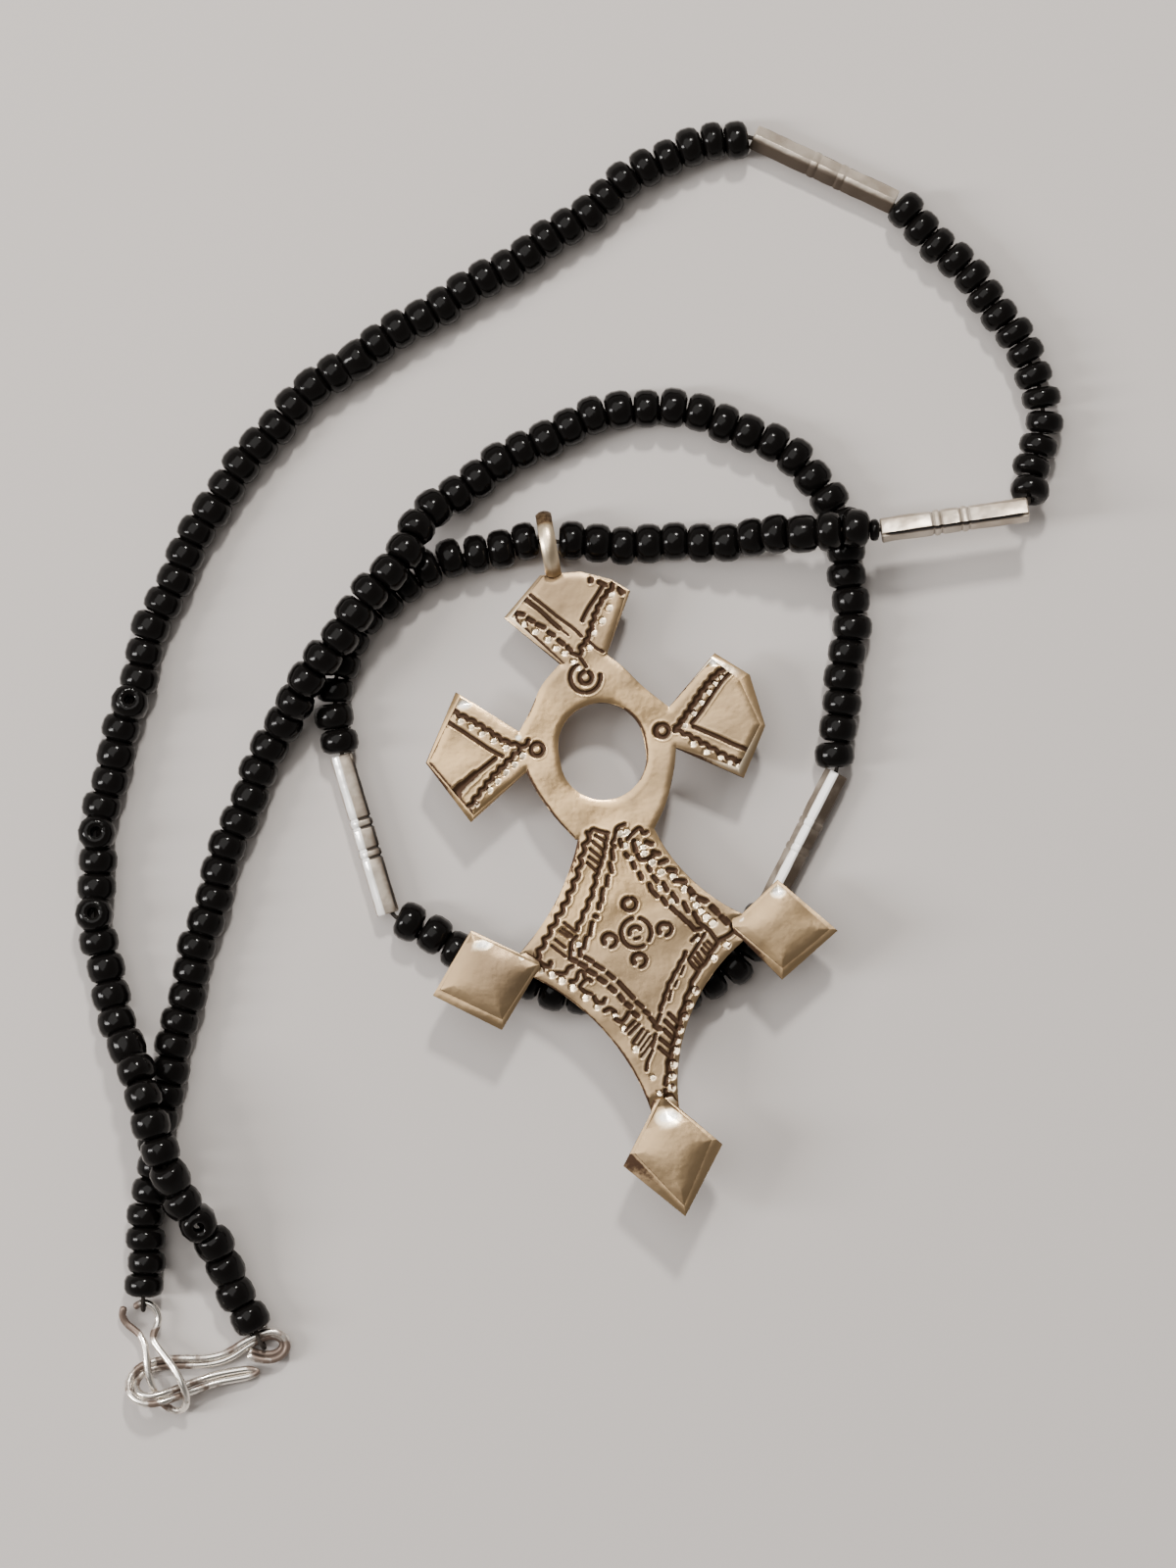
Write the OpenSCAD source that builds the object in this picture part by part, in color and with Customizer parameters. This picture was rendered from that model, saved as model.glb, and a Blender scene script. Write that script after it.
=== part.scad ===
// A Tuareg silver cross on a string of black glass beads, laid down in loose loops.
// Millimetres. It lies on z = 0, and the origin is under the middle of its box.

/* [Beads] */
// Diameter of the largest glass beads
bead_d = 3.8; // [3.6:0.05:3.8]
// Mean length of a glass bead along the thread
bead_len = 2.3; // [2.1:0.05:2.35]
// Diameter of the hole through a bead
bead_hole_d = 1.1; // [0.9:0.05:1.2]
// Least room between two beads on the thread
bead_gap = 0.15; // [0.14:0.01:0.25]
// Diameter of the thread
thread_d = 0.5; // [0.3:0.05:0.5]

/* [Tube beads] */
// Width of the silver tube beads across their corners
tube_d = 2.5; // [2.3:0.05:2.5]
// Flat sides of a tube bead
tube_sides = 8; // [6:1:10]
// Wall of the rolled sheet
tube_wall = 0.3; // [0.2:0.05:0.35]
// Depth of the filed grooves
groove_depth = 0.18; // [0.1:0.01:0.2]

/* [Cross] */
// Thickness of the engraved plate
plate_t = 1.6; // [1.2:0.1:1.8]
// Thickness of the three small diamonds at the ends
diamond_t = 2.1; // [1.8:0.1:2.3]
// Width of the hole in the ring
hole_w = 8.1; // [7:0.1:8.6]
// Height of the hole in the ring
hole_h = 9.2; // [8.8:0.1:9.6]
// Outer diameter of the bail
bail_d = 6.6; // [6:0.1:7]
// Thickness of the bail's band
bail_t = 0.9; // [0.7:0.1:1]
// Width of the bail's band
bail_w = 1.5; // [1.2:0.1:1.6]
// How far the cross leans to the left, in degrees
lean = 10; // [8:1:12]

/* [Clasp] */
// Diameter of the clasp's wire
wire_d = 0.66; // [0.5:0.02:0.68]
// Room between the two wires of the hook
wire_gap = 0.1; // [0.08:0.01:0.14]

/* [Hidden] */
silver = "#c9b79f";
black_glass = "#121113";
dark_thread = "#2b2522";
curve_steps = 6;
bead_facets = 24;
hole_room = 0.11;
bend_room = 0.6;
round_facets = 96;

// Middle of all that the routes below describe
middle = [-0.07, -0.39];

// Height of the thread in a bead that lies on the surface, and where it crosses another strand
crossing_room = 0.2;
low = bead_d / 2;
high = 3 * bead_d / 2 + crossing_room;

// Routes of the thread from the clasp's hook to its eye: x, y, height
strand_1 = [[-29.6, -53.6, low], [-31.5, -49.9, low], [-32.7, -47.3, 2.2], [-33.8, -45.1, 2.9],
    [-35, -42.9, 3.9], [-36.6, -40.8, 4.9], [-37.8, -38.4, 5.7], [-38.7, -36, high + 0.05],
    [-39.1, -33.6, high], [-39.9, -31.1, 5.5], [-41, -28.8, 4.6], [-41.9, -26.3, 3.4], [-42.7, -23.9, 2.5],
    [-43.6, -21.2, low], [-44.7, -15, low], [-44.6, -7, low], [-43.2, 0, low], [-41.4, 6, low],
    [-39.4, 13.1, low], [-37.5, 17.2, low], [-35.3, 21.6, low], [-32.9, 25.8, low], [-29.8, 29.4, low],
    [-26.4, 33.6, low], [-22.5, 36.7, low], [-14.5, 41.9, low], [-6, 46.9, low], [1.5, 51.9, low],
    [7.3, 56.5, low], [12.4, 58.4, low], [17.2, 59.2, low]];
strand_2 = [[30.7, 52.9, low], [33.1, 50.6, low], [36.3, 47.5, low], [39.5, 43.9, low], [42.2, 39.9, low],
    [44.2, 36, low], [44.7, 33, low], [44.4, 30.7, low], [43.8, 28.5, 2.2], [43.3, 26.5, 2.8],
    [43.1, 24.9, 3.4], [43, 23.8, 5.9]];
strand_3 = [[29, 21.8, 5.9], [26.9, 21.8, high + 0.05], [24.6, 21.9, high + 0.05], [22.3, 21.7, 5.6],
    [19.8, 21.5, 4.7], [16, 21, 3.2], [12, 20.9, 2.2], [7.4, 20.7, low], [2.8, 20.8, low], [-1.15, 20.9, low]];
strand_4 = [[-3, 21.1, low], [-6, 20.4, low], [-8.4, 20, low], [-10.6, 19.6, low], [-12.9, 18.6, low],
    [-15.3, 17.4, low], [-17.2, 15.8, low], [-19.2, 13.8, low], [-20.8, 11.9, low], [-21.9, 9.6, low],
    [-22.3, 6.8, low], [-22.1, 4.2, low], [-21.7, 0.9, low]];
strand_5 = [[-17.2, -14.3, low], [-15.1, -14.9, low], [-12.2, -16.8, low], [-8, -18.7, low],
    [-3.1, -20.9, low], [1.5, -22, low], [6.5, -22.3, low], [11.5, -21.5, low], [15.2, -19.4, low],
    [17.3, -16.7, low], [18.7, -13.6, low]];
strand_6 = [[25.2, -0.8, low], [25, 2, low], [25.9, 8, low], [26.5, 14, low], [26.1, 19.2, low],
    [25.9, 21.4, low], [25.2, 23.7, low], [24, 25.8, low], [22.9, 27.4, low], [19.6, 29.9, low],
    [14.6, 32.2, low], [10, 33.5, low], [5.2, 33.6, low], [0.6, 32.1, low], [-3.8, 30, low],
    [-8, 27.5, low], [-11.7, 24.9, 2.4], [-13.9, 23, 3.5], [-15.1, 20.8, 4.8], [-16.5, 18.6, 5.5],
    [-18.1, 16.6, 5.8], [-19.7, 14.8, 5.8], [-21, 12.8, 5.8], [-22.5, 11, 5.75], [-23.9, 8.8, 5.3],
    [-25.3, 6.7, 4.5], [-26.7, 4.7, 3.3], [-28, 2.3, 2.3], [-29.6, -1.4, low], [-31.9, -6.8, low],
    [-34.1, -13.8, low], [-36.1, -21, low], [-37.2, -26.2, low], [-38.3, -30.9, low], [-38.8, -34.7, low],
    [-39.2, -38, low], [-39.8, -41.2, low], [-40.1, -45, low], [-40.3, -50.5, low]];

// Columns: route, bare thread before its first bead, bare thread after its last bead, and how long
// its beads are at its start, farther on and at its end, as parts of their mean length
strands = [[strand_1, 0.1, 0.35, [1.05, 0.98, 0.85]], [strand_2, 0.05, 2.6, [0.86, 0.78, 0.76]],
    [strand_3, 0, 0.1, [0.97, 0.97, 0.97]], [strand_4, 0.1, 0, [0.9, 0.92, 0.9]],
    [strand_5, 0.8, 0, [0.97, 0.97, 0.97]], [strand_6, 0.4, 0.1, [0.96, 1.02, 0.86]]];
farther_on = 0.7;
// Strand and number of the one much smaller bead, beside the second tube bead
small_bead = [2, 0];
small_len = 0.8;
small_d = 2.1;
mouth_room = 0.3;
tube_drop = 0.4;
tube_room = 0.23;
// Where the pairs of grooves sit along a tube bead, and how far apart the two of a pair are
groove_places = [0.43, 0.62];
groove_pitch = 0.8;
groove_w = 0.3;

// Outlines of the cross, seen from the front with the middle of its ring at the origin.
// Columns of an end piece: its corners, then the bevel on each edge at its start and its end
// The ring's own outline shows between the arms and the square, as four curved sides
ring_sides = [[[1.8, 9.1], [3.2, 7.6], [4.9, 5.25], [6.9, 3]], [[6.9, -0.8], [6.5, -2.4], [5, -5.9], [3.3, -8.3]],
    [[-3.9, -7.7], [-5.45, -5.3], [-6.7, -2.7], [-7.3, -0.9]], [[-7.4, 3.1], [-6, 4.9], [-4.5, 7.1], [-2.6, 8.7]]];
ring_steps = 4;
bevel_drop = 0.45;
top_arm = [[[-2.3, 7], [-2.5, 8.8], [-6.9, 14], [-2.9, 17.3], [0.9, 17], [3.7, 15.7], [5.2, 14.4], [2.1, 9.1],
    [2.1, 7]], [[0, 0], [0.2, 0.5], [0.5, 0.2], [0, 0], [0, 0.1], [0.1, 0.2], [0.3, 0], [0, 0]]];
left_arm = [[[-5.5, -0.4], [-7.6, -0.8], [-13.3, -4.4], [-16.5, 1.8], [-12.6, 7.9], [-7.3, 3.1], [-5.5, 3]],
    [[0, 0], [0.1, 0.3], [0.6, 0.2], [0.2, 0.6], [0.2, 0], [0, 0]]];
right_arm = [[[5.5, 3], [6.9, 3], [12, 7.3], [14.9, 4.7], [15.5, -0.3], [12.65, -4.75], [6.9, -0.9], [5.5, -0.6]],
    [[0, 0], [0, 0.2], [0.6, 1], [1.1, 0.4], [0.5, 0.9], [0.7, 0.1], [0, 0]]];
left_diamond = [[[-9.2, -19], [-10, -19.7], [-13.8, -24.1], [-19.6, -19.8], [-15, -14.4], [-10.8, -17.4],
    [-9.4, -17.4]], [[0, 0], [0.3, 0.5], [0.9, 0.8], [0.3, 0.2], [0.3, 0.3], [0, 0]]];
right_diamond = [[[9.2, -17.6], [10.1, -17.4], [14.1, -14.7], [18.8, -20.4], [12.9, -24], [9.9, -19.7],
    [9.2, -19]], [[0, 0], [0.3, 0.3], [0.3, 0.4], [0.6, 0.8], [0.8, 0.4], [0, 0]]];
low_diamond = [[[1.25, -33], [1.25, -34.1], [4.7, -38.2], [0.1, -44.2], [-4.8, -38.6], [-1.25, -34], [-1.25, -33]],
    [[0, 0], [0.2, 0.4], [1.1, 0.5], [0.6, 1.6], [0.4, 0.2], [0, 0]]];
// Corners of the concave square below the ring, clockwise as all outlines here
square_corners = [[3.5, -6.5], [3.5, -7.9], [10.3, -17.3], [10.1, -19.7], [1.3, -34.2], [-1.3, -34.2],
    [-10.1, -19.7], [-10.9, -17.3], [-3.7, -7.8], [-3.7, -6.5]];
// The corner that each hollow side starts from, and how deep it curves in
hollow_sides = [[1, 1], [3, 2.2], [5, 1.7], [7, 0.8]];
// The bail stands on the top arm, left of its middle; the diamonds lie on the string at rest_v
bail_u = -1.6;
bail_v = 20;
rest_v = -17.5;
lift = 0.12;
ring_place = [3, 1.1];
bail_z = bail_d / 2 + lift;
rest_z = bead_d + lift + diamond_t / 2;
tilt = asin((rest_z - bail_z) / (bail_v - rest_v));
ring_z = bail_z + bail_v * sin(tilt);
cutter = 60;

// Routes of the clasp's wires: x, y, height
eye_route = [[-42.2, -51.4, 1.1], [-42.4, -52.2, 0.8], [-41.9, -53.1, 0.7], [-40.75, -53.9, 1], [-40.1, -55.3, 1.6],
    [-39.9, -57.3, 1.9], [-39.3, -59.3, 1.7], [-38.2, -60.8, 1.2], [-37, -61.2, 1.2], [-36.2, -60.4, 2.3],
    [-36.3, -59, 3.15], [-37.2, -57.2, 2.95], [-38.65, -55.4, 2.1], [-39.5, -54.2, 1.6], [-38.9, -52.8, 1.2],
    [-39.2, -51.5, 1.2], [-40.35, -50.9, 1.2], [-41.2, -51.4, 1.2]];
// The hook's own route runs from its ring to its tip, midway between its two wires
hook_route = [[-30.4, -55.7, 0.9], [-29.4, -56.1, 0.85], [-28, -56.1, 0.8], [-27, -55.3, 0.9],
    [-27.2, -54.3, 1], [-28.3, -53.9, 1.08], [-29.45, -54.25, 1.1], [-30.75, -54.95, 1], [-31.85, -55.7, 0.9],
    [-33.2, -56.3, 0.8], [-35.1, -56.6, 0.75], [-37.6, -56.6, 0.75], [-39.6, -56.9, 0.75], [-41, -57.7, 1.2],
    [-41.4, -58.8, 2], [-40.8, -59.7, 2.7], [-39.5, -60, 3], [-37.8, -59.6, 2.6], [-35.8, -58.9, 1.6],
    [-33.2, -58.1, 0.9], [-30.2, -57.6, 0.75]];
hook_tip = [-29.3, -57.5, 0.75];
// How far the two wires are turned from one above the other to side by side, along the route
hook_turns = [[0, 40], [0.3, 40], [0.45, 60], [1, 80]];
wire_sides = 6;
wire_steps = 2;
// The thread is tied round the clasp's rings: middle of each knot's loop and its radius
hook_knot = [[-29.45, -54.25, 1.2], 1.15];
eye_knot = [[-40.35, -50.9, 1.2], 0.78];
knot_steps = 7;
knot_turn = 150;
thread_sides = 6;

function unit(v) = v / norm(v);
function ease(p0, p1, t0, t1, f) =
    let (l = norm(p1 - p0), g = f * f * (3 - 2 * f))
    (1 - g) * p0 + g * p1 + l * f * (1 - f) * ((1 - f) * t0 - f * t1);
function heading(route, i) =
    let (last = len(route) - 1)
    i == 0 ? unit(route[1] - route[0])
    : i == last ? unit(route[last] - route[last - 1])
    : unit(unit(route[i + 1] - route[i]) + unit(route[i] - route[i - 1]));
// A smooth line through all points of a route
function smooth(route, steps) = concat(
    [for (i = [0:len(route) - 2], k = [0:steps - 1])
        ease(route[i], route[i + 1], heading(route, i), heading(route, i + 1), k / steps)],
    [route[len(route) - 1]]);
// Length along a line up to each of its points
function lengths(line) = [for (i = 0, s = 0; i < len(line);
    s = s + (i + 1 < len(line) ? norm(line[i + 1] - line[i]) : 0), i = i + 1) s];
function measured(route) =
    let (line = smooth(route, curve_steps), s = lengths(line))
    [for (axis = [0:2]) [for (i = [0:len(line) - 1]) [s[i], axis == 2 ? max(low, line[i][axis]) : line[i][axis]]]];
function end_of(rail) = rail[0][len(rail[0]) - 1][0];
function at(rail, s) = [for (axis = [0:2]) lookup(s, rail[axis])];
function bend(rail, s) =
    let (here = at(rail, s + bead_len / 2), a = here - at(rail, s - bead_len / 2),
        b = at(rail, s + 3 * bead_len / 2) - here)
    norm(a) * norm(b) == 0 ? 0 : acos(min(1, a * b / norm(a) / norm(b))) * PI / 180;
rails = [for (strand = strands) measured(strand[0])];

// Hand-made beads differ a little: the length, diameter and shift aside of bead i of strand k.
// The spreads are parts of the size, and the turns keep neighbours apart in it
len_spread = 0.04;
len_turn = 137;
d_spread = 0.02;
d_turn = 211;
shift_turn = 97;
function is_small(k, i) = k == small_bead[0] && i == small_bead[1];
function own_len(k, i, s) =
    let (parts = strands[k][3], end = end_of(rails[k]))
    is_small(k, i) ? small_len
    : bead_len * lookup(s, [[0, parts[0]], [farther_on * end, parts[1]], [end, parts[2]]])
        * (1 + len_spread * sin(len_turn * i));
function own_d(k, i) = is_small(k, i) ? small_d : bead_d * (1 - d_spread - d_spread * sin(d_turn * (i + 3 * k)));
function own_shift(i) = ((bead_hole_d - thread_d) / 2 - hole_room) * sin(shift_turn * i);

// The places between the beads of strand k, spread evenly from its first bead to its last
function next_stop(k, i, s) =
    let (length = own_len(k, i, s))
    s + length + bead_gap + bend_room * (bead_d - length) * bend(rails[k], s);
function fits(k, from, to) = len([for (i = 0, s = from; s <= to; s = next_stop(k, i, s), i = i + 1) s]) - 1;
function stops(k, from, spare, count) =
    [for (i = 0, s = from; i <= count; s = next_stop(k, i, s) + spare, i = i + 1) s];
function spread(k) =
    let (from = strands[k][1], to = end_of(rails[k]) - strands[k][2], count = fits(k, from, to))
    stops(k, from, (to - stops(k, from, 0, count)[count]) / count, count);
stations = [for (k = [0:len(strands) - 1]) spread(k)];
joints = [for (k = [0:len(strands) - 1]) [for (s = stations[k]) at(rails[k], s)]];

// A ring of points round a place on a swept line
function ring(place, along, across, r, sides) =
    let (other = cross(along, across))
    [for (k = [0:sides - 1]) place + r * (cos(360 * k / sides) * across + sin(360 * k / sides) * other)];
function square_to(along, v) = unit(v - (v * along) * along);
// A direction across the line at each point, carried on without twist
function sides_of(line, first) = [for (i = 0, v = square_to(heading(line, 0), first); i < len(line);
    v = i + 1 < len(line) ? square_to(heading(line, i + 1), v) : v, i = i + 1) v];

module swept(line, d, sides, first) {
    across = sides_of(line, first);
    rings = [for (i = [0:len(line) - 1]) ring(line[i], heading(line, i), across[i], d / 2, sides)];
    last = len(line) - 1;
    polyhedron(
        points = [for (r = rings) each r],
        faces = concat(
            [[for (k = [0:sides - 1]) k]],
            [for (i = [0:last - 1], k = [0:sides - 1])
                let (n = (k + 1) % sides)
                [i * sides + k, (i + 1) * sides + k, (i + 1) * sides + n, i * sides + n]],
            [[for (k = [sides - 1:-1:0]) last * sides + k]]));
}

module along(a, b) {
    d = unit(b - a);
    translate((a + b) / 2)
        rotate([0, acos(d.z), atan2(d.y, d.x)])
            children();
}

module bead(length, d) {
    rotate_extrude($fn = bead_facets)
        intersection() {
            translate([(d - length) / 2, 0]) circle(d = length, $fn = bead_facets);
            translate([bead_hole_d / 2, -length / 2]) square([d, length]);
        }
}

module bead_strand(k) {
    for (i = [0:len(joints[k]) - 2])
        along(joints[k][i], joints[k][i + 1])
            translate([0, own_shift(i + k), 0])
                bead(own_len(k, i, stations[k][i]), own_d(k, i));
}

module beads_hook_side() {
    color(black_glass)
        for (k = [0:2]) bead_strand(k);
}

module beads_eye_side() {
    color(black_glass)
        for (k = [3:5]) bead_strand(k);
}

module groove() {
    rotate_extrude($fn = round_facets)
        translate([tube_d / 2 - groove_depth, 0])
            polygon([[0, 0], [2 * groove_depth, groove_w], [2 * groove_depth, -groove_w]]);
}

// A tube of rolled sheet between the ends of two strands, resting lower than the thread
module tube_bead(before, after) {
    from = strands[before][0][len(strands[before][0]) - 1];
    to = strands[after][0][0];
    length = norm(to - from) - 2 * tube_room;
    color(silver)
        translate([0, 0, -tube_drop])
            along(from, to)
                difference() {
                    translate([0, 0, -length / 2])
                        cylinder(d = tube_d, h = length, $fn = tube_sides);
                    translate([0, 0, -length])
                        cylinder(d = tube_d * cos(180 / tube_sides) - 2 * tube_wall, h = 2 * length, $fn = round_facets);
                    for (place = groove_places, side = [-1, 1])
                        translate([0, 0, length * (place - 0.5) + side * groove_pitch / 2]) groove();
                }
}

// Moves the middle of the whole box to the origin
module laid() {
    translate([-middle.x, -middle.y, 0]) children();
}

// A loop that turns back round a ring's wire, in the upright plane of the strand's end
function knot(end, before, loop) =
    let (out = unit([end.x - before.x, end.y - before.y, 0]))
    [for (k = [0:knot_steps])
        let (a = 90 - knot_turn * k / knot_steps)
        loop[0] + loop[1] * [out.x * cos(a), out.y * cos(a), sin(a)]];
function backward(list) = [for (i = [len(list) - 1:-1:0]) list[i]];
function mouth(k, i) = strands[k][i] > mouth_room;
thread_line = concat(
    backward(knot(joints[0][0], joints[0][1], hook_knot)),
    [for (k = [0:len(joints) - 1]) each concat(
        mouth(k, 1) ? [strands[k][0][0]] : [],
        joints[k],
        mouth(k, 2) ? [strands[k][0][len(strands[k][0]) - 1]] : [])],
    let (last = joints[5], n = len(last) - 1) knot(last[n], last[n - 1], eye_knot));

module thread() {
    color(dark_thread) swept(thread_line, thread_d, thread_sides, [0, 0, 1]);
}

module oval(w, h) {
    for (side = [-1, 1])
        translate([0, side * (h - w) / 2]) circle(d = w, $fn = round_facets);
    square([w, h - w], center = true);
}

// From the side a to b of a clockwise outline straight into the piece
function inward(a, b) = [b.y - a.y, a.x - b.x] / norm(b - a);

// A circle that cuts a side from a to b hollow
module hollow_side(a, b, depth) {
    c = norm(b - a);
    r = (c * c / 4 + depth * depth) / (2 * depth);
    translate((a + b) / 2 - inward(a, b) * (r - depth)) circle(r = r, $fn = round_facets);
}

module concave_square() {
    difference() {
        polygon(square_corners);
        for (side = hollow_sides) hollow_side(square_corners[side[0]], square_corners[side[0] + 1], side[1]);
    }
}

// Takes away all that lies above the plane through three points
module above(p, q, r) {
    raw = unit(cross(q - p, r - p));
    n = raw.z < 0 ? -raw : raw;
    translate(p)
        rotate([0, acos(n.z), atan2(n.y, n.x)])
            translate([-cutter / 2, -cutter / 2, 0]) cube([cutter, cutter, cutter / 2]);
}

// An end piece of the cross: a thick outline whose edges are filed to a slope
module end_piece(piece, t) {
    corners = piece[0];
    difference() {
        translate([0, 0, -t / 2])
            linear_extrude(t) polygon(corners);
        for (i = [0:len(corners) - 2]) {
            a = corners[i];
            b = corners[i + 1];
            bevels = piece[1][i];
            if (bevels[0] + bevels[1] > 0) {
                inset = (bevels[0] + bevels[1]) / 2;
                top = (a + b) / 2 + inward(a, b) * inset;
                for (side = [0, 1])
                    mirror([0, 0, side])
                        above([a.x, a.y, t / 2 - bevel_drop * bevels[0]],
                            [b.x, b.y, t / 2 - bevel_drop * bevels[1]],
                            [top.x, top.y, t / 2]);
            }
        }
    }
}

module bail() {
    dome = 0.3;
    r = (bail_w * bail_w / 4 + dome * dome) / (2 * dome);
    rotate([0, 90, 0])
        rotate_extrude($fn = round_facets)
            intersection() {
                translate([bail_d / 2 - r, 0]) circle(r = r, $fn = round_facets);
                translate([bail_d / 2 - bail_t, -bail_w / 2]) square([bail_t, bail_w]);
            }
}

module cross_flat() {
    difference() {
        union() {
            translate([0, 0, -plate_t / 2])
                linear_extrude(plate_t) {
                    polygon([for (side = ring_sides) each smooth(side, ring_steps)]);
                    concave_square();
                }
            for (arm = [top_arm, left_arm, right_arm]) end_piece(arm, plate_t);
            for (diamond = [left_diamond, right_diamond, low_diamond]) end_piece(diamond, diamond_t);
            translate([bail_u, bail_v, 0]) bail();
        }
        translate([0, 0, -plate_t])
            linear_extrude(2 * plate_t) oval(hole_w, hole_h);
    }
}

module cross_pendant() {
    color(silver)
        translate([ring_place.x, ring_place.y, ring_z])
            rotate([0, 0, lean])
                rotate([-tilt, 0, 0])
                    cross_flat();
}

module clasp_eye() {
    color(silver) swept(smooth(eye_route, wire_steps), wire_d, wire_sides, [0, 0, 1]);
}

// From the middle of the hook's two wires to one of them
function aside(line, i) =
    let (along = heading(line, i), flat = unit([along.y, -along.x, 0]), up = cross(flat, along),
        turn = lookup(i / (len(line) - 1), hook_turns))
    (wire_d + wire_gap) / 2 * (cos(turn) * up + sin(turn) * flat);

// A hairpin of wire: out along one side of the route, round the tip and back along the other
module clasp_hook() {
    line = smooth(hook_route, wire_steps);
    last = len(line) - 1;
    color(silver)
        swept(concat([for (i = [0:last]) line[i] + aside(line, i)], [hook_tip],
            [for (i = [last:-1:0]) line[i] - aside(line, i)]), wire_d, wire_sides, [0, 0, 1]);
}

laid() cross_pendant();  // cross
laid() thread();
laid() beads_hook_side();
laid() beads_eye_side();
laid() tube_bead(0, 1);  // tube_bead_1
laid() tube_bead(1, 2);  // tube_bead_2
laid() tube_bead(3, 4);  // tube_bead_3
laid() tube_bead(4, 5);  // tube_bead_4
laid() clasp_hook();
laid() clasp_eye();
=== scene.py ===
import math
import random

import bpy
import numpy as np
from mathutils import Matrix, Vector


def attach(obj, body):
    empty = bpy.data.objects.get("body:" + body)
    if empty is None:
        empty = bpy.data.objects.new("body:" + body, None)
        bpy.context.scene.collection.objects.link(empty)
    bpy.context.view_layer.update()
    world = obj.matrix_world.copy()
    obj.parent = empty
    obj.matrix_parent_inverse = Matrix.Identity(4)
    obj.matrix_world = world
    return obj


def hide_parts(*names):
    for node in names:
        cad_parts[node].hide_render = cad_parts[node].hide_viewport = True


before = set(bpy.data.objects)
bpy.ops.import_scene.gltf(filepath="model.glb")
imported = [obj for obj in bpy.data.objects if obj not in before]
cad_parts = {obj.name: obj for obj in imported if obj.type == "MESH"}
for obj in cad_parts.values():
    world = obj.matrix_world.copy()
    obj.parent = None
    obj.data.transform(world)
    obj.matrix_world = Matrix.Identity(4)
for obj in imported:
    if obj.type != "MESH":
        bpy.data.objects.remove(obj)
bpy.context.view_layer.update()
mm = 0.001
luck = random.Random(7)
print("frame loaded")

# The photo's own scale, and the places that tie its pixels to the part
photo = {
    "mmPerPixel": 0.0925,
    "ringCentrePixel": (614, 767),      # middle of the hole in the cross's ring
    "ringCentre": (3.07, 1.49),         # the same point in the frame, in mm
    "lean": 10,                         # the cross leans this many degrees to the left
    "middle": (1.735, -1.55, 1.9),      # what the camera looks straight down at, in mm
    "height": 148,                      # mm from the top of the picture to its bottom there
    "distance": 500,
}


# Choosing and clearing

def clearChoice():
    if bpy.context.mode != "OBJECT":
        bpy.ops.object.mode_set(mode="OBJECT")
    bpy.ops.object.select_all(action="DESELECT")


def choose(piece):
    clearChoice()
    piece.select_set(True)
    bpy.context.view_layer.objects.active = piece


def newest(name):
    piece = bpy.context.active_object
    piece.name = name
    piece.data.name = name
    return piece


def cadCopy(node, name):
    # a merged copy of a CAD node, ready to be edited
    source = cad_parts[node]
    piece = source.copy()
    piece.data = source.data.copy()
    piece.name = name
    piece.data.name = name
    piece.parent = None
    for key in list(piece.keys()):
        del piece[key]
    piece.data.materials.clear()
    bpy.context.scene.collection.objects.link(piece)
    choose(piece)
    bpy.ops.object.mode_set(mode="EDIT")
    bpy.ops.mesh.select_all(action="SELECT")
    bpy.ops.mesh.remove_doubles(threshold=0.000001)
    bpy.ops.mesh.customdata_custom_splitnormals_clear()
    bpy.ops.object.mode_set(mode="OBJECT")
    return piece


def pickFaces(piece, test):
    # selects the faces that the test says yes to, from their middles and normals, and returns how many
    mesh = piece.data
    count = len(mesh.polygons)
    middles = np.empty(count * 3)
    normals = np.empty(count * 3)
    mesh.polygons.foreach_get("center", middles)
    mesh.polygons.foreach_get("normal", normals)
    chosen = test(middles.reshape(-1, 3), normals.reshape(-1, 3))
    mesh.vertices.foreach_set("select", np.zeros(len(mesh.vertices), bool))
    mesh.edges.foreach_set("select", np.zeros(len(mesh.edges), bool))
    mesh.polygons.foreach_set("select", chosen)
    bpy.ops.object.mode_set(mode="EDIT")
    bpy.ops.mesh.select_mode(type="FACE")
    return int(chosen.sum())


def points(piece):
    flat = np.empty(len(piece.data.vertices) * 3)
    piece.data.vertices.foreach_get("co", flat)
    return flat.reshape(-1, 3)


def setPoints(piece, places):
    piece.data.vertices.foreach_set("co", places.reshape(-1))
    piece.data.update()


def paint(piece, name, values):
    # a value for each vertex, which a material reads by its name
    layer = piece.data.attributes.new(name, "FLOAT", "POINT")
    layer.data.foreach_set("value", values.astype(np.float32))


def smoothByAngle(piece, degrees):
    choose(piece)
    bpy.ops.object.shade_smooth_by_angle(angle=math.radians(degrees))


def finishPiece(piece, slotName, finish, *nodes):
    piece.data.materials.clear()
    piece.data.materials.append(finish.material)
    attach(piece, "root")
    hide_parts(*nodes)


# Materials

class Wire:
    # a socket that can be written into sums
    def __init__(self, finish, socket):
        self.finish = finish
        self.socket = socket

    def sum(self, operation, first, second):
        return self.finish.node("ShaderNodeMath", {"operation": operation}, {0: first, 1: second})

    def __add__(self, other):
        return self.sum("ADD", self, other)

    def __radd__(self, other):
        return self.sum("ADD", other, self)

    def __sub__(self, other):
        return self.sum("SUBTRACT", self, other)

    def __rsub__(self, other):
        return self.sum("SUBTRACT", other, self)

    def __mul__(self, other):
        return self.sum("MULTIPLY", self, other)

    def __rmul__(self, other):
        return self.sum("MULTIPLY", other, self)


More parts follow.
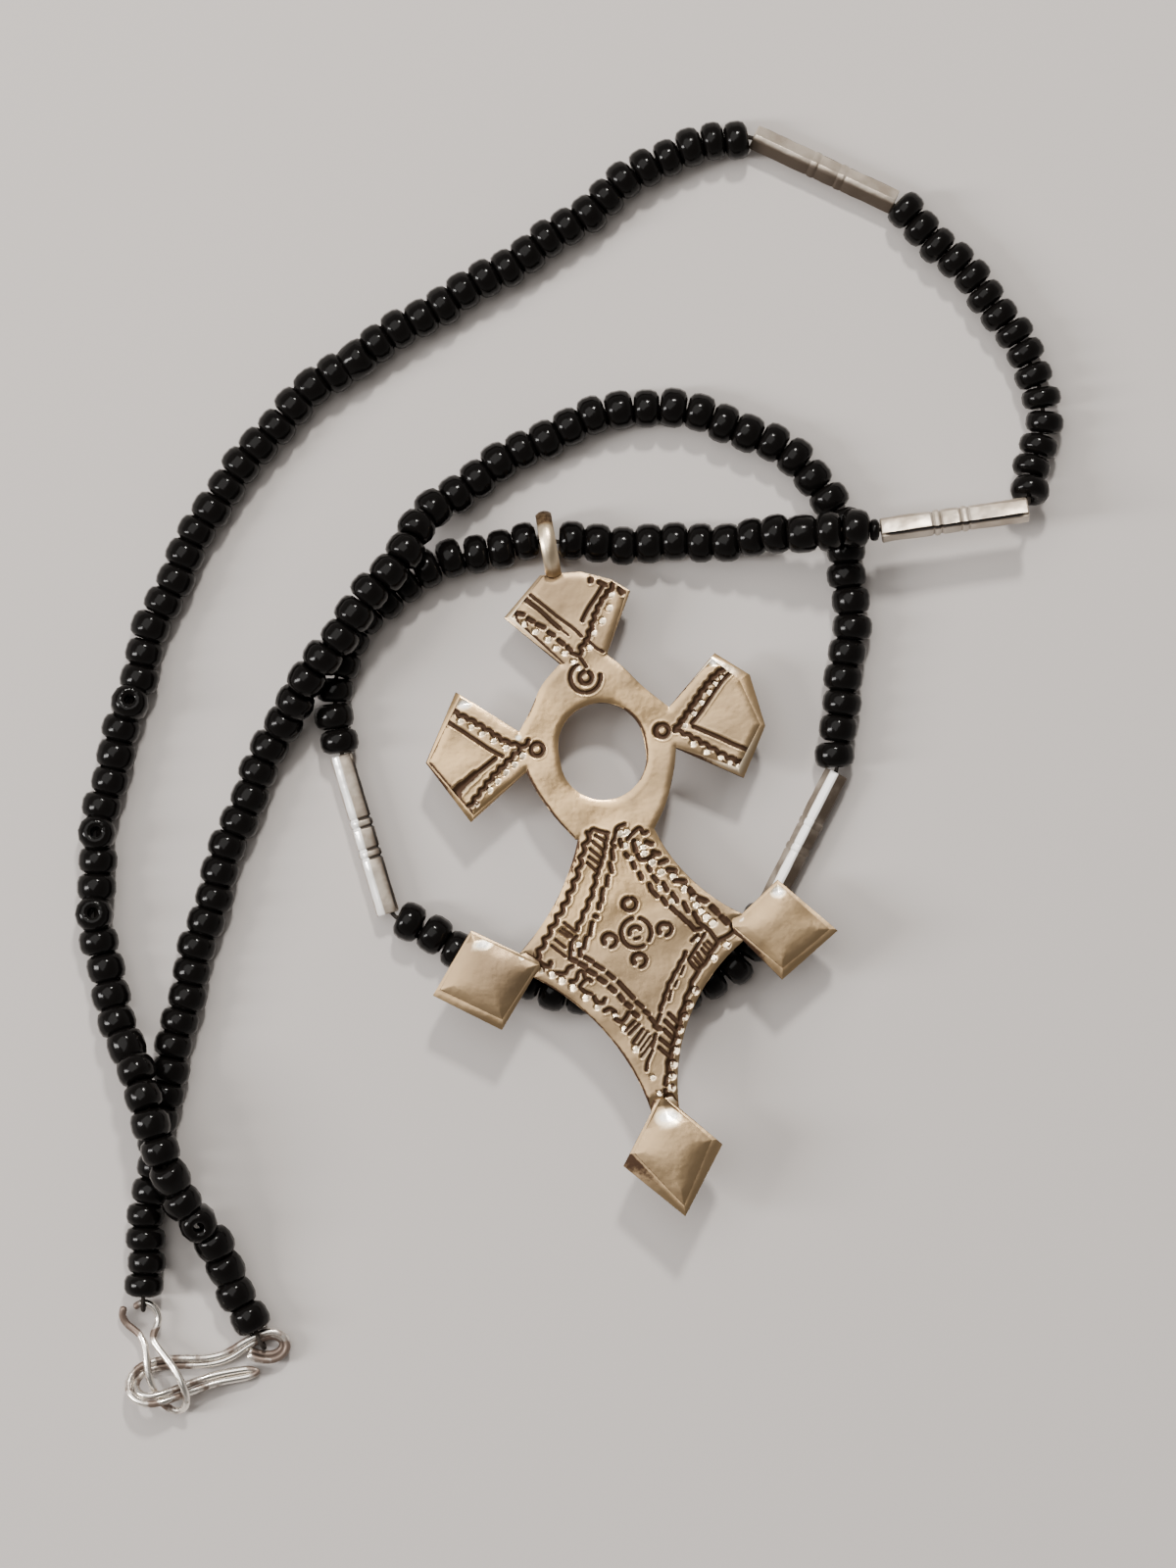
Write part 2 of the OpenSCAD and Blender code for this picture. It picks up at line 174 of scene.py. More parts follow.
class Finish:
    # one material, with the constants of its shader
    def __init__(self, name, constants):
        self.material = bpy.data.materials.new(name)
        self.material.use_nodes = True
        self.tree = self.material.node_tree
        self.shader = self.tree.nodes["Principled BSDF"]
        for socket, value in constants.items():
            self.shader.inputs[socket].default_value = value

    def node(self, kind, settings=None, sockets=None, out=0):
        made = self.tree.nodes.new(kind)
        for name, value in (settings or {}).items():
            if name == "stops":
                ramp = made.color_ramp
                while len(ramp.elements) < len(value):
                    ramp.elements.new(0.5)
                for stop, (place, colour) in zip(ramp.elements, value):
                    stop.position = place
                    stop.color = colour
            else:
                setattr(made, name, value)
        for name, value in (sockets or {}).items():
            self.join(value, made.inputs[name])
        return Wire(self, made.outputs[out])

    def join(self, value, socket):
        if isinstance(value, Wire):
            self.tree.links.new(value.socket, socket)
        else:
            socket.default_value = value

    def put(self, socket, wire):
        self.tree.links.new(wire.socket, self.shader.inputs[socket])

    def place(self):
        return self.node("ShaderNodeTexCoord", out="Object")

    def noise(self, place, scale, detail=2, roughness=0.5):
        return self.node("ShaderNodeTexNoise", None,
            {"Vector": place, "Scale": scale, "Detail": detail, "Roughness": roughness}, "Fac")

    def between(self, value, low, high):
        # 0 below low, 1 above high, and smooth between them
        return self.node("ShaderNodeMapRange", {"interpolation_type": "SMOOTHSTEP"},
            {"Value": value, "From Min": low, "From Max": high, "To Min": 0.0, "To Max": 1.0}, "Result")

    def painted(self, name):
        return self.node("ShaderNodeAttribute", {"attribute_name": name}, None, "Fac")

    def bump(self, height, strength, distance):
        return self.node("ShaderNodeBump", None,
            {"Height": height, "Strength": strength, "Distance": distance}, "Normal")


def mixSockets(finish, amount, first, second):
    # the colour sockets of a Mix node share their names with its number sockets, so they go by place
    made = finish.tree.nodes.new("ShaderNodeMix")
    made.data_type = "RGBA"
    finish.join(amount, made.inputs[0])
    finish.join(first, made.inputs[6])
    finish.join(second, made.inputs[7])
    return Wire(finish, made.outputs[2])


silverLooks = {
    "clean": (0.64, 0.43, 0.222, 1),
    "warm": (0.43, 0.30, 0.17, 1),
    # darker silver where the tones are high: partly its own tone, partly painted shade
    "deep": (0.27, 0.19, 0.115, 1),
    # lighter silver: clean cut metal in the punches, and painted light and highlights elsewhere
    "bright": (0.86, 0.71, 0.51, 1),
    # the colour of the painted highlights
    "paintedGlint": (1, 0.95, 0.86, 1),
    # the colour of the patina, and of painted shade
    "patina": (0.045, 0.021, 0.009, 1),
    "broadScale": 95,
    "cloudScale": 320,
    "grainScale": 2600,
}


def makeEngravedSilver():
    finish = Finish("engravedSilver", {"Metallic": 1.0, "Roughness": 0.4})
    place = finish.place()
    broad = finish.noise(place, silverLooks["broadScale"], 2)
    cloud = finish.noise(place, silverLooks["cloudScale"], 3)
    grain = finish.noise(place, silverLooks["grainScale"], 3, 0.6)
    # patina in the cuts, and painted shade on edges and walls that face away from the light
    patina = finish.between(finish.painted("patina") + (grain - 0.5) * 0.35, 0.25, 0.6)
    # wear from noise, with the painted tones, which are partly painted light and shade
    worn = finish.between(broad * 0.6 + cloud * 0.4 + finish.painted("tone"), 0.36, 0.68)
    bright = finish.painted("bright")
    # painted highlights: where the painted value is over 1, the silver turns white and less metallic
    paintedGlintShare = finish.between(bright, 1, 2)
    silver = mixSockets(finish, worn, silverLooks["clean"], silverLooks["warm"])
    # where the tones are high the silver darkens: partly its own tone, partly painted shade
    silver = mixSockets(finish, finish.between(finish.painted("tone"), 0.15, 0.65), silver, silverLooks["deep"])
    # painted lighter where the painted value says: clean cut metal in the punches, painted light and highlights
    # elsewhere
    silver = mixSockets(finish, finish.between(bright, 0, 1), silver, silverLooks["bright"])
    silver = mixSockets(finish, paintedGlintShare, silver, silverLooks["paintedGlint"])
    finish.put("Base Color", mixSockets(finish, patina, silver, silverLooks["patina"]))
    finish.put("Metallic", 1 - patina * 0.3 - paintedGlintShare * 0.3)
    finish.put("Roughness", 0.28 + worn * 0.1 + patina * 0.25 - bright * 0.06)
    finish.put("Normal", finish.bump(broad * 12 + cloud * 4 + grain * 0.25, 0.5, 0.00006))
    return finish


def makeRolledSilver():
    finish = Finish("rolledSilver", {"Metallic": 1.0, "Roughness": 0.3})
    place = finish.place()
    cloud = finish.noise(place, 420, 3)
    grain = finish.noise(place, 2600, 2)
    # patina in the grooves and the seam, and painted shade on the tubes' dark strips
    patina = finish.between(finish.painted("patina") + (cloud - 0.5) * 0.4, 0.3, 0.7)
    # painted highlights on the tubes' light strips
    bright = finish.between(finish.painted("bright") + (cloud - 0.5) * 0.1, 0.85, 0.97)
    silver = mixSockets(finish, finish.between(cloud, 0.36, 0.64), (0.56, 0.49, 0.41, 1), (0.38, 0.315, 0.25, 1))
    seam = finish.between(finish.painted("patina"), 0.85, 1.1)
    dark = mixSockets(finish, seam, (0.06, 0.042, 0.028, 1), (0.012, 0.008, 0.006, 1))
    silver = mixSockets(finish, patina, silver, dark)
    finish.put("Base Color", mixSockets(finish, bright, silver, (1, 0.98, 0.95, 1)))
    finish.put("Metallic", 0.66 - patina * 0.35 - bright * 0.3)
    finish.put("Roughness", 0.26 + cloud * 0.14 + patina * 0.25 - bright * 0.12)
    finish.put("Normal", finish.bump(cloud * 5 + grain * 0.05, 0.3, 0.00006))
    return finish


def makeSilverWire():
    finish = Finish("silverWire", {"Metallic": 1.0, "Roughness": 0.25})
    place = finish.place()
    cloud = finish.noise(place, 520, 3)
    patina = finish.between(cloud + finish.painted("patina"), 0.44, 0.6)
    finish.put("Base Color", mixSockets(finish, patina, (0.92, 0.87, 0.80, 1), (0.17, 0.125, 0.10, 1)))
    finish.put("Metallic", 1 - patina * 0.4)
    finish.put("Roughness", 0.2 + patina * 0.25)
    return finish


def makeBlackGlass():
    finish = Finish("blackGlass", {"Base Color": (0.0035, 0.003, 0.0028, 1), "IOR": 1.5,
        "Specular IOR Level": 0.12})
    place = finish.place()
    cloud = finish.noise(place, 900, 2)
    finish.put("Roughness", 0.08 + cloud * 0.14)
    finish.put("Normal", finish.bump(cloud, 0.3, 0.0001))
    return finish


def makeDarkThread():
    finish = Finish("darkThread", {"Roughness": 0.85, "Specular IOR Level": 0.2})
    place = finish.place()
    fibre = finish.noise(place, 5000, 2)
    finish.put("Base Color", mixSockets(finish, fibre, (0.006, 0.005, 0.004, 1), (0.045, 0.036, 0.03, 1)))
    finish.put("Normal", finish.bump(fibre, 0.6, 0.0001))
    return finish


engravedSilver = makeEngravedSilver()
rolledSilver = makeRolledSilver()
silverWire = makeSilverWire()
blackGlass = makeBlackGlass()
darkThread = makeDarkThread()
print("materials made")


# Glass beads: one is modelled, and a copy is fitted in the place of each solid bead

bead = {
    "around": 12,          # faces round the bead
    "hole": 0.3,           # radius of the hole, as a part of the bead's
    "wobble": 0.015,       # how far a hand-made bead is from round
    "fill": 1.1,           # how much of its place it takes along the thread
    # half of the bead's section from its middle to its end: along the thread, out from it
    "shoulder": [(0.17, 0.995), (0.38, 0.89), (0.5, 0.62)],
}


def modelBead():
    # a closed outline of the bead's section, spun round the thread: radius 1, length 1
    half = bead["shoulder"] + [(0.5, bead["hole"])]
    clearChoice()
    bpy.ops.mesh.primitive_circle_add(vertices=2 * len(half), radius=0.5, location=(0, 0, 0))
    piece = newest("beadPattern")
    outline = [(out, 0, -along) for along, out in reversed(half)] + [(out, 0, along) for along, out in half]
    setPoints(piece, np.array(outline, float))
    choose(piece)
    bpy.ops.object.mode_set(mode="EDIT")
    bpy.ops.mesh.select_all(action="SELECT")
    bpy.ops.mesh.spin(steps=bead["around"], angle=2 * math.pi, center=(0, 0, 0), axis=(0, 0, 1))
    bpy.ops.mesh.select_all(action="SELECT")
    bpy.ops.mesh.remove_doubles(threshold=0.001)
    bpy.ops.mesh.normals_make_consistent(inside=False)
    bpy.ops.mesh.faces_shade_smooth()
    bpy.ops.object.mode_set(mode="OBJECT")
    return piece


def solidsOf(node):
    # the points of each separate solid in a CAD node
    piece = cadCopy(node, "lookedAt")
    mesh = piece.data
    places = points(piece)
    links = np.empty(len(mesh.edges) * 2, int)
    mesh.edges.foreach_get("vertices", links)
    links = links.reshape(-1, 2)
    group = np.arange(len(places))
    while True:
        lowest = group.copy()
        np.minimum.at(lowest, links[:, 0], group[links[:, 1]])
        np.minimum.at(lowest, links[:, 1], group[links[:, 0]])
        lowest = lowest[lowest]
        if (lowest == group).all():
            break
        group = lowest
    bpy.data.objects.remove(piece)
    return [places[group == g] for g in np.unique(group)]


def beadPlace(solid):
    # middle, axis, radius and length of a bead: its points are spread least along its axis
    middle = (solid.min(0) + solid.max(0)) / 2
    spread, axes = np.linalg.eigh(np.cov((solid - solid.mean(0)).T))
    axis = axes[:, 0]
    along = (solid - middle) @ axis
    centre = middle + axis * (along.max() + along.min()) / 2
    out = np.linalg.norm((solid - centre) - np.outer((solid - centre) @ axis, axis), axis=1)
    return Vector(centre), Vector(axis), out.max(), along.max() - along.min()


def stringBeads(node, name, pattern):
    copies = []
    for solid in solidsOf(node):
        centre, axis, radius, length = beadPlace(solid)
        flatAcross = Vector((-axis.y, axis.x, 0)).normalized()
        up = axis.cross(flatAcross).normalized()
        size = Matrix.Diagonal((radius * (1 - bead["wobble"] * luck.random()),
            radius * (1 - bead["wobble"] * luck.random()), length * bead["fill"], 1))
        turn = Matrix((flatAcross, up, axis)).transposed().to_4x4()
        copy = pattern.copy()
        copy.data = pattern.data.copy()
        copy.data.transform(Matrix.Translation(centre) @ turn @ size)
        if turn.determinant() < 0:
            copy.data.flip_normals()
        lowest = min(vertex.co.z for vertex in copy.data.vertices)
        if lowest < 0:
            copy.data.transform(Matrix.Translation((0, 0, -lowest)))
        bpy.context.scene.collection.objects.link(copy)
        copies.append(copy)
    clearChoice()
    for copy in copies:
        copy.select_set(True)
    bpy.context.view_layer.objects.active = copies[0]
    bpy.ops.object.join()
    piece = newest(name)
    finishPiece(piece, "black_glass", blackGlass, node)
    print(name, len(copies), "beads")


beadPattern = modelBead()
stringBeads("beads_hook_side", "beadsHookSide", beadPattern)
stringBeads("beads_eye_side", "beadsEyeSide", beadPattern)
bpy.data.objects.remove(beadPattern)


# The cross

crossLooks = {
    "edge": 0.14,           # mm, how far its edges are worn round
    "cell": 0.5,            # mm, coarse grid on its face
    "fine": 4,              # cuts in each coarse cell where it is engraved and along its edges
    "flat": 0.9995,         # a face whose normal is nearer than this to the plate's is part of its top
    "weight": 1.1,          # how bold the cuts are
    "lineDepth": 0.19,      # mm
    "steep": 0.95,          # depth of a narrow cut, as a part of its half width
    "punchSlope": 0.45,     # how steeply a bright punch rises
    "burr": 0.03,           # mm, metal raised beside a cut
    "shoulder": 1.45,       # a cut's full width, as a part of its dark width
    "rim": 0.7,             # mm, how wide its edges slope down, and how far
    "rimDrop": 0.13,
    "diamondRim": 1.9,
    "diamondDrop": 0.3,
    "waves": 0.035,         # mm, how uneven its face is
    "crown": 0.16,          # mm, how far the diamonds are domed
    "diamonds": [(-14.8, -19.6), (14.2, -19.7), (0.1, -38.9)],
    "diamondReach": 4.6,
    "capFrom": 21.9,        # mm, where the end of the bail starts that is painted dark, as painted shade
    "bail": (16.9, -1.75),  # mm, where it starts, and the middle of its band
    "rimShadeReach": 0.65,        # mm, how far in the painted shade of the edges reaches
    "wallShade": 0.9,        # how dark the walls are painted that look the same way, as painted shade
    # worn corners that catch the light: place, how far each slopes down and aside, and how steeply
    "catches": [(-15, -14.4, 1.1, 2.6, 0.2), (14.1, -14.7, 1.1, 2.6, 0.2), (0, -33.9, 1.6, 2.6, 0.22),
        (-6.6, 14.3, 1.1, 0.9, 0.3), (-12.6, 7.9, 1.3, 2.6, 0.3), (12, 7.3, 1.2, 2.6, 0.3)],
}
paintedShadeWay = Vector((-0.93, -0.37, 0))     # edges and walls that look this way are painted dark, as painted shade
paintedLightWay = Vector((-0.55, 0.83, 0))    # sides of cuts that look this way are painted lighter, as painted light
# Columns of the painted highlights on corners: a photo pixel, half width and half height in pixels
paintedGlints = [(493, 963, 9, 5), (533, 975, 3, 3), (681, 1137, 12, 8), (474, 719, 7, 5), (529, 753, 3, 3),
    (792, 909, 7, 6), (754, 936, 3, 3), (727, 675, 5, 5), (520, 634, 6, 4)]
# Columns of the tones: a photo pixel, how many pixels round it, and how much darker its silver is; partly the silver's
# own uneven tone, partly painted light and shade
tonesAndShade = [(560, 740, 60, -0.05), (672, 790, 40, 0.16), (625, 890, 70, -0.2), (660, 1010, 70, 0.36), (570, 600, 60, 0.46),
    (478, 760, 50, 0.12), (735, 725, 50, 0.18), (500, 970, 60, 0.38), (520, 1000, 50, 0.24), (815, 945, 60, 0.14),
    (690, 1175, 60, 0.2), (630, 700, 40, -0.1), (590, 930, 40, -0.12), (700, 940, 40, 0.05)]

# What is cut into the cross, by the photo's pixels.
# Columns of a line: its points, dark half width, and the pitch and depth of its scallops, 0 where it is plain
lines = {
    "topLeftBold": ([(533, 611), (549, 622), (563, 635), (571, 642)], 2.1, 0, 0),
    "topLeftEnd": ([(569, 640), (580, 649)], 1.1, 0, 0),
    "topLeftThin": ([(541, 608), (554, 618), (570, 631), (585, 642), (593, 650)], 1.5, 0, 0),
    "topRightBold": ([(616, 597), (608, 610), (600, 622), (594, 634)], 2.0, 0, 0),
    "topRight": ([(625, 598), (617, 608), (609, 622), (603, 640), (598, 654), (593, 660), (592, 669)], 2.3, 9, 2.6),
    "topApex": ([(583, 667), (591, 670)], 2.0, 0, 0),
    "topCross": ([(600, 654), (607, 661), (615, 666)], 1.4, 0, 0),
    "topNeck": ([(592, 672), (598, 681)], 1.7, 0, 0),
    "leftUpper": ([(460, 726), (480, 735), (500, 747), (516, 757), (533, 762)], 2.3, 10, 2.4),
    "leftUpperPlain": ([(458, 738), (470, 745), (485, 755), (500, 765), (513, 772)], 1.9, 0, 0),
    "leftWedge": ([(506, 774), (495, 783), (486, 790)], 2.3, 0, 0),
    "leftWedgeWide": ([(486, 790), (478, 797), (471, 803)], 3.6, 0, 0),
    "leftWedgeEnd": ([(472, 802), (463, 811)], 4.6, 0, 0),
    "leftLower": ([(540, 757), (531, 764), (517, 778), (505, 790), (493, 805), (479, 823)], 2.4, 10, 2.6),
    "rightUpper": ([(740, 681), (727, 691), (713, 709), (700, 729), (688, 745)], 2.9, 9, 1.8),
    "rightUpperPlain": ([(745, 686), (737, 694), (729, 705), (714, 727), (705, 738)], 2.0, 0, 0),
    "rightLower": ([(688, 745), (706, 753), (727, 765), (742, 773), (758, 779)], 2.2, 10, 2.4),
    "rightLowerPlain": ([(707, 742), (733, 753), (748, 760), (766, 767)], 2.1, 0, 0),
    "boxTop": ([(602, 850), (605, 846), (611, 848), (620, 850)], 2.1, 0, 0),
    "boxRight": ([(619, 851), (617, 864), (614, 878), (608, 894)], 2.0, 9, 1.6),
    "squareLeft": ([(601, 850), (594, 870), (590, 888), (582, 909), (573, 928), (563, 946), (547, 977)], 2.3, 13, 4),
    "secondLeft": ([(608, 894), (604, 911), (597, 928), (588, 948)], 2.2, 13, 2.6),
    "secondLeftEnd": ([(588, 955), (583, 961), (582, 974)], 2.1, 0, 0),
    "squareRight": ([(748, 949), (731, 961), (717, 983), (709, 993), (700, 1015), (693, 1036), (687, 1058),
        (682, 1078), (680, 1092)], 2.4, 17, 1.6),
    "squareTip": ([(679, 1097), (678, 1104)], 2.2, 0, 0),
    "squareTipEnd": ([(678, 1110), (678, 1118)], 2.2, 0, 0),
    "boxRightInner": ([(718, 952), (712, 962), (702, 978)], 1.9, 0, 0),
    "boxRightFoot": ([(702, 978), (707, 985), (713, 989)], 2.0, 0, 0),
    "boxRightHead": ([(711, 940), (722, 948), (731, 960)], 2.0, 0, 0),
    "cornerTop": ([(637, 841), (629, 845), (627, 855), (624, 860), (627, 864)], 2.0, 0, 0),
    "cornerTopRight": ([(640, 856), (646, 849), (652, 845), (656, 850), (659, 849)], 2.2, 0, 0),
    "boxTopRight": ([(650, 872), (654, 877), (662, 875), (669, 870)], 2.3, 0, 0),
    "hookOne": ([(547, 979), (554, 984), (561, 985), (562, 981)], 2.4, 0, 0),
    "hookTwo": ([(568, 992), (577, 992), (580, 987), (584, 985)], 2.3, 0, 0),
    "hookThree": ([(582, 1000), (588, 999), (590, 992), (594, 990), (597, 996)], 2.0, 0, 0),
    "hookFour": ([(603, 1000), (599, 998), (592, 1005), (596, 1010), (603, 1013)], 2.0, 0, 0),
    "hookFive": ([(606, 1016), (609, 1021), (615, 1022), (617, 1018)], 2.2, 0, 0),
    "hookSix": ([(617, 1030), (622, 1028), (627, 1031)], 2.2, 0, 0),
    "hookSeven": ([(628, 1038), (634, 1041), (639, 1036), (641, 1032)], 2.3, 0, 0),
    "cornerLow": ([(673, 1034), (669, 1044)], 2.1, 0, 0),
    "tipMark": ([(668, 1054), (665, 1066)], 2.0, 0, 0),
    "tipMarkEnd": ([(665, 1070), (660, 1082), (659, 1090)], 1.7, 0, 0),
    "frameLowRight": ([(711, 953), (705, 959)], 1.8, 0, 0),
    "frameLowRightEnd": ([(699, 971), (690, 988), (682, 1003), (677, 1017), (673, 1029)], 2.1, 12, 1.2),
}
# Columns of short cuts: dark half width, how dark, and the two ends of each
shortCuts = {
    "topLeft": (2.5, 1, [(527, 627, 534, 628), (539, 632, 544, 635), (548, 638, 555, 641), (560, 646, 565, 649),
        (570, 654, 575, 658), (579, 661, 582, 664)]),
    "topDots": (2.4, 1, [(602, 592, 602, 594), (611, 595, 617, 598), (632, 602, 634, 606)]),
    "topDot": (3.2, 1, [(632, 602, 634, 605)]),
    "rungsTopLeft": (1.6, 1, [(607, 852, 618, 859), (604, 858, 616, 868), (602, 866, 614, 876), (601, 874, 612, 882),
        (599, 880, 609, 889)]),
    "rungsLeft": (1.5, 1, [(576, 941, 587, 950), (563, 964, 577, 975), (567, 958, 577, 966)]),
    "rungsLeftFaint": (2.2, 0.62, [(571, 949, 581, 956), (574, 947, 584, 955)]),
    "rungsTopRight": (2.8, 1, [(646, 858, 648, 868), (659, 859, 664, 861), (666, 869, 671, 871)]),
    "rowTopRight": (3.0, 1, [(673, 880, 678, 878), (681, 887, 687, 888), (688, 898, 697, 899), (702, 907, 706, 912),
        (711, 916, 719, 919), (725, 925, 731, 931), (735, 935, 741, 941), (746, 943, 748, 946)]),
    "secondTopRight": (2.4, 1, [(666, 894, 670, 899), (676, 901, 680, 908), (685, 911, 690, 919),
        (697, 921, 701, 929), (707, 931, 711, 938), (661, 884, 663, 888)]),
    "frameTopRight": (2.4, 1, [(632, 857, 634, 863), (638, 871, 640, 874), (645, 880, 647, 885), (652, 891, 654, 896),
        (662, 902, 664, 908), (664, 908, 670, 914), (675, 916, 679, 922), (684, 925, 690, 931), (692, 932, 700, 940),
        (702, 941, 708, 948), (708, 948, 714, 947)]),
    "frameLeft": (2.4, 1, [(624, 867, 625, 876), (622, 881, 624, 889), (620, 894, 619, 903), (615, 907, 614, 912),
        (614, 915, 614, 919), (611, 922, 611, 926), (607, 934, 609, 935), (604, 941, 602, 953), (598, 956, 596, 966),
        (592, 968, 592, 974)]),
    "secondLowLeft": (2.8, 1, [(582, 977, 588, 980), (591, 982, 597, 985), (600, 989, 607, 993), (611, 997, 617, 1001),
        (622, 1006, 627, 1010), (632, 1015, 635, 1019), (639, 1023, 643, 1026), (646, 1032, 650, 1035)]),
    "frameLowLeft": (2.3, 1, [(597, 976, 604, 980), (607, 983, 615, 988), (620, 992, 626, 997), (631, 1001, 646, 1017),
        (649, 1021, 655, 1026), (657, 1030, 661, 1033), (663, 1037, 669, 1044)]),
    "cornerLow": (3.0, 1, [(668, 1045, 672, 1048)]),
    "rungsLowLeft": (2.3, 0.8, [(647, 1041, 638, 1050), (651, 1044, 642, 1053), (655, 1049, 646, 1062)]),
    "rungsLowLeftFaint": (2.0, 0.66, [(660, 1052, 650, 1066), (663, 1056, 653, 1070), (666, 1060, 654, 1076)]),
    "rungsLowRight": (2.1, 1, [(682, 1033, 690, 1041), (678, 1040, 687, 1049), (677, 1049, 687, 1059),
        (673, 1058, 684, 1067), (672, 1067, 681, 1075)]),
    "rungsRight": (1.6, 1, [(715, 967, 720, 973), (706, 975, 714, 984)]),
    "rungsRightFaint": (1.8, 0.68, [(721, 960, 726, 965), (717, 962, 723, 968), (710, 971, 716, 980)]),
    "secondLowRight": (1.5, 0.9, [(697, 985, 694, 993), (690, 1000, 688, 1005), (684, 1010, 682, 1019)]),
}
# Bright slanted punches: half width and length in pixels, the way that they rise, and their middles; each is painted
# lighter, partly clean cut metal and partly painted highlight
brightPunches = {
    "topLeft": (3.0, 6, (0.1, 1), [(535, 637), (546, 645), (559, 653), (567, 662), (576, 667), (585, 676), (590, 682)]),
    "topRight": (3.2, 7, (1, 0.2), [(623, 607), (621, 621), (614, 634), (605, 646), (601, 661)]),
    "leftUpper": (2.6, 6, (0.4, 1), [(470, 736), (481, 742), (492, 749), (504, 756), (516, 763), (526, 768)]),
    "leftLower": (3.2, 6, (1, 0.5), [(533, 771), (525, 780), (516, 788), (508, 797), (500, 806), (486, 820)]),
    "rightUpper": (2.6, 7, (1, 0.6), [(736, 692), (729, 698), (723, 707), (715, 717), (707, 728), (697, 740)]),
    "rightLower": (3.0, 6, (0.3, 1), [(706, 759), (720, 767), (734, 772), (744, 778), (752, 781)]),
    "squareTop": (3.4, 7, (0.5, 1), [(632, 850), (639, 849), (637, 862), (649, 860), (655, 864), (656, 870), (664, 879),
        (673, 889), (686, 894), (697, 906), (707, 915), (709, 923), (714, 929), (719, 935), (726, 941)]),
    "squareLow": (3.0, 7, (0.2, 1), [(552, 988), (563, 993), (573, 999), (584, 1006), (597, 1016), (609, 1026),
        (627, 1034), (636, 1048), (648, 1068)]),
    "squareRight": (3.2, 8, (1, 0.3), [(740, 963), (727, 976), (708, 1009), (702, 1023), (698, 1035), (693, 1048),
        (690, 1059), (689, 1069), (686, 1083), (685, 1095), (684, 1107), (682, 1117)]),
    "second": (2.4, 6, (0.6, 1), [(643, 875), (672, 905), (684, 918), (590, 962), (584, 971), (711, 957), (665, 1097),
        (672, 1113)]),
}
# Columns of an arc: middle, radius, where it starts and ends in degrees clockwise from the right, dark half width
arcs = {
    "topOuter": ((597, 692), 15.3, -10, 85, 2.1),
    "topOuterLeft": ((597, 692), 15.3, 98, 235, 2.1),
    "topInner": ((597.5, 692), 6.2, -60, 250, 2.3),
    "left": ((548, 765), 6.4, -20, 340, 2.2),
    "right": ((675.3, 746), 6.4, -20, 340, 2.3),
    "rightThick": ((674, 746), 6.2, 130, 250, 2.5),
    "middleOuter": ((648.5, 951), 15.2, 60, 255, 2.1),
    "middleOuterRight": ((648.5, 951), 15.2, -75, 30, 2.0),
    "middleInner": ((648, 951), 6.2, 165, 320, 2.1),
    "middleInnerLow": ((648, 951), 6.2, 50, 95, 1.6),
    "up": ((642, 921.8), 6.6, -70, 240, 2.0),
    "upThick": ((641, 921.8), 5.6, 150, 260, 2.6),
    "east": ((677.7, 947.3), 6.6, -60, 75, 2.0),
    "eastThick": ((676.7, 947.3), 5.6, 140, 300, 2.6),
    "west": ((622, 959), 6.6, -60, 80, 2.0),
    "westThick": ((621, 958), 5.6, 140, 300, 2.6),
    "down": ((652, 979), 6.6, -60, 80, 2.0),
    "downThick": ((651, 978), 5.6, 140, 300, 2.6),
}
domes = [(643, 921.5), (679.5, 946.5), (623.5, 958), (653.5, 977), (549, 764.5), (677, 745), (599, 691)]


def fromPhoto(pixels):
    # from the photo's pixels to mm on the cross: right and up from the middle of its ring
    scale = photo["mmPerPixel"]
    right = (np.atleast_2d(pixels)[:, 0] - photo["ringCentrePixel"][0]) * scale
    up = (photo["ringCentrePixel"][1] - np.atleast_2d(pixels)[:, 1]) * scale
    lean = math.radians(photo["lean"])
    return np.stack([right * math.cos(lean) + up * math.sin(lean),
        up * math.cos(lean) - right * math.sin(lean)], axis=1)


def evenly(line, step):
    # points along a line at even steps
    line = np.asarray(line, float)
    lengths = np.concatenate([[0], np.cumsum(np.linalg.norm(np.diff(line, axis=0), axis=1))])
    stops = np.linspace(0, lengths[-1], max(2, int(round(lengths[-1] / step)) + 1))
    return np.stack([np.interp(stops, lengths, line[:, k]) for k in (0, 1)], axis=1), stops


def curved(line):
    # a smooth curve through the points of a line
    line = np.asarray(line, float)
    if len(line) < 3:
        return line
    out = []
    for i in range(len(line) - 1):
        before = line[max(i - 1, 0)]
        after = line[min(i + 2, len(line) - 1)]
        for t in np.linspace(0, 1, 8, endpoint=False):
            out.append(0.5 * (2 * line[i] + (line[i + 1] - before) * t
                + (2 * before - 5 * line[i] + 4 * line[i + 1] - after) * t ** 2
                + (3 * line[i] - before - 3 * line[i + 1] + after) * t ** 3))
    return np.array(out + [line[-1]])


def scalloped(line, pitch, depth):
    # small arcs side by side along the left of a line
    line, stops = evenly(curved(line), 1.2)
    along = np.gradient(line, axis=0)
    along /= np.linalg.norm(along, axis=1)[:, None]
    aside = np.stack([along[:, 1], -along[:, 0]], axis=1)
    return line + aside * (depth * np.abs(np.sin(math.pi * stops / pitch)) - depth / 2)[:, None]


def distanceTo(line, places):
    # from each place to the nearest point of a line
    nearest = np.full(len(places), 1e9)
    for a, b in zip(line[:-1], line[1:]):
        step = b - a
        share = np.clip(((places - a) @ step) / max(step @ step, 1e-12), 0, 1)
        nearest = np.minimum(nearest, np.linalg.norm(places - a - share[:, None] * step, axis=1))
    return nearest


